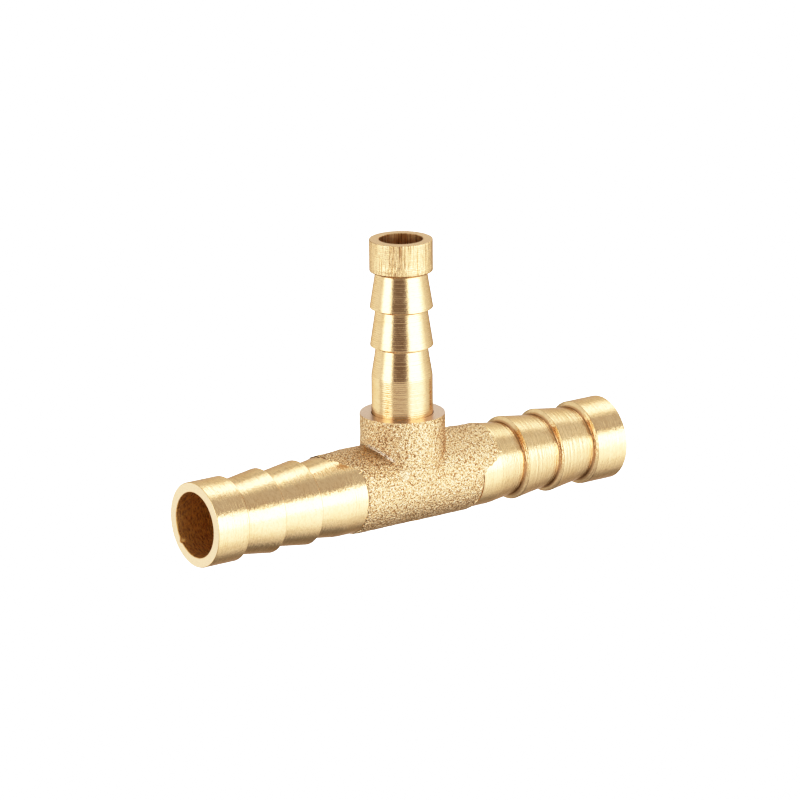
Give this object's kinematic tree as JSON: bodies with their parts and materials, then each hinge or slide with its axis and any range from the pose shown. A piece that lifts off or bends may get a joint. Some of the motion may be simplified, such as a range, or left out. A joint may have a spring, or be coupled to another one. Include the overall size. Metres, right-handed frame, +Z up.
{
  "type": "barbed tee connector",
  "caption": "Brass tee for small-bore hose: two barbed tails in line and a smaller barbed branch standing square to them on a forged body.",
  "frame": {"origin": "where the axis of the run crosses the axis of the branch, inside the body", "axes": "+X along the run, from the left tail to the right tail; +Z up the branch; +Y across the fitting"},
  "size_m": [0.0528, 0.0092, 0.0308],
  "materials": {
    "forged_brass": "forged and shot-blasted, matt and grainy with a fine sparkle",
    "turned_brass": "turned and bright, with fine tool lines round each tail"
  },
  "bodies": {
    "root": {"tee_body": "forged_brass", "run_barb_left": "turned_brass", "run_barb_right": "turned_brass", "branch_barb": "turned_brass"}
  },
  "joints": []
}
